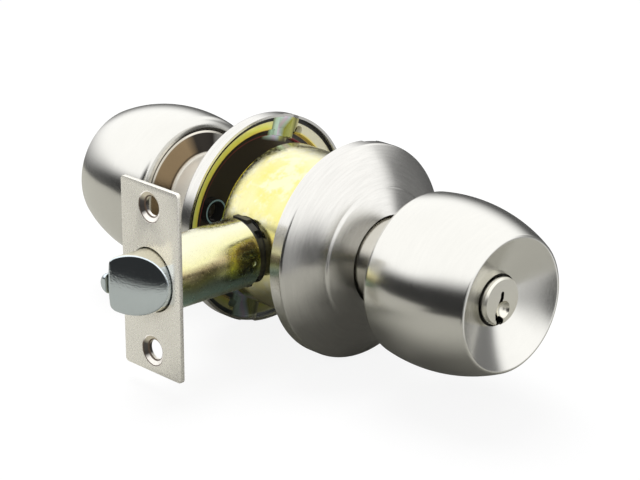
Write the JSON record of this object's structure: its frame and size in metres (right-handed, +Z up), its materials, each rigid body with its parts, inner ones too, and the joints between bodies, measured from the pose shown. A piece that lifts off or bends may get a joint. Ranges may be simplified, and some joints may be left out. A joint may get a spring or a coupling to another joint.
{
  "type": "cylindrical knob lock",
  "caption": "Keyed door knob lock: barrel knobs with dished fronts, domed roses, a yellow zinc drum and a spring latch with a deadlatch plunger.",
  "frame": {"origin": "where the spindle axis crosses the latch axis, in the middle of the drum", "axes": "Y along the spindle with the inside knob toward +Y and the keyed outside knob toward -Y, the latch bolt toward -X, +Z up"},
  "size_m": [0.1045, 0.169, 0.065],
  "materials": {
    "satin_steel": "satin, brushed around the axis",
    "yellow_zinc": "yellow passivated zinc plating",
    "polished_steel": "polished",
    "satin_nickel": "satin nickel plating",
    "chrome": "bright plating",
    "black_plastic": "matt",
    "cast_zinc": "as cast",
    "spring_steel": "plain",
    "brass": "machined"
  },
  "bodies": {
    "chassis": {"drum_shell": "yellow_zinc", "outside_hub_plate": "yellow_zinc", "inside_hub_plate": "yellow_zinc", "outside_rose": "satin_steel", "outside_rose_liner": "yellow_zinc", "inside_rose": "satin_steel", "inside_rose_liner": "yellow_zinc", "latch_faceplate": "satin_nickel", "latch_tube": "yellow_zinc", "latch_end_guide": "black_plastic", "latch_spring": "spring_steel", "plunger_spring": "spring_steel", "retractor_springs": "spring_steel"},
    "outside_knob": {"outside_knob_shell": "satin_steel", "outside_knob_neck": "polished_steel", "outside_knob_core": "cast_zinc", "outside_spindle": "yellow_zinc", "cylinder_body": "brass", "cylinder_cap": "brass", "driver_pins": "brass", "pin_springs": "spring_steel"},
    "key_plug": {"cylinder_plug": "satin_nickel", "key_pins": "brass", "plug_clip": "spring_steel", "tailpiece": "spring_steel"},
    "inside_knob": {"inside_knob_shell": "satin_steel", "inside_knob_neck": "polished_steel", "inside_knob_core": "cast_zinc", "inside_spindle": "yellow_zinc", "button_bush": "cast_zinc"},
    "turn_button": {"turn_button": "satin_steel", "locking_bar": "spring_steel"},
    "retractor": {"retractor": "cast_zinc"},
    "latch_bolt": {"latch_bolt": "chrome", "latch_tail": "spring_steel"},
    "deadlatch_plunger": {"deadlatch_plunger": "chrome"}
  },
  "joints": [
    {"name": "outside_knob_turn", "type": "hinge", "parent": "chassis", "child": "outside_knob", "pos_m": [0, 0, 0], "axis": [0, 1, 0], "range_deg": [0, 60], "stiffness_Nm_per_rad": 0.4, "springref_deg": -17.19},
    {"name": "inside_knob_turn", "type": "hinge", "parent": "chassis", "child": "inside_knob", "pos_m": [0, 0, 0], "axis": [0, 1, 0], "range_deg": [0, 60]},
    {"name": "retractor_slide", "type": "slide", "parent": "chassis", "child": "retractor", "axis": [1, 0, 0], "range_m": [0, 0.012], "deforming": ["retractor_springs"]},
    {"name": "latch_bolt_slide", "type": "slide", "parent": "chassis", "child": "latch_bolt", "axis": [1, 0, 0], "range_m": [0, 0.012], "deforming": ["latch_spring"]},
    {"name": "deadlatch_plunger_slide", "type": "slide", "parent": "latch_bolt", "child": "deadlatch_plunger", "axis": [1, 0, 0], "range_m": [0, 0.009], "stiffness_N_per_m": 150, "springref_m": -0.004, "deforming": ["plunger_spring"]},
    {"name": "key_plug_turn", "type": "hinge", "parent": "outside_knob", "child": "key_plug", "pos_m": [0, 0, 0], "axis": [0, 1, 0], "range_deg": [-90, 90]},
    {"name": "turn_button_turn", "type": "hinge", "parent": "inside_knob", "child": "turn_button", "pos_m": [0, 0, 0], "axis": [0, 1, 0], "range_deg": [0, 90]}
  ],
  "couplings": [
    {"joint": "inside_knob_turn", "follows": "outside_knob_turn", "ratio": 1},
    {"joint": "retractor_slide", "follows": "outside_knob_turn", "m_per_rad": 0.011459},
    {"joint": "latch_bolt_slide", "follows": "outside_knob_turn", "m_per_rad": 0.011459}
  ]
}
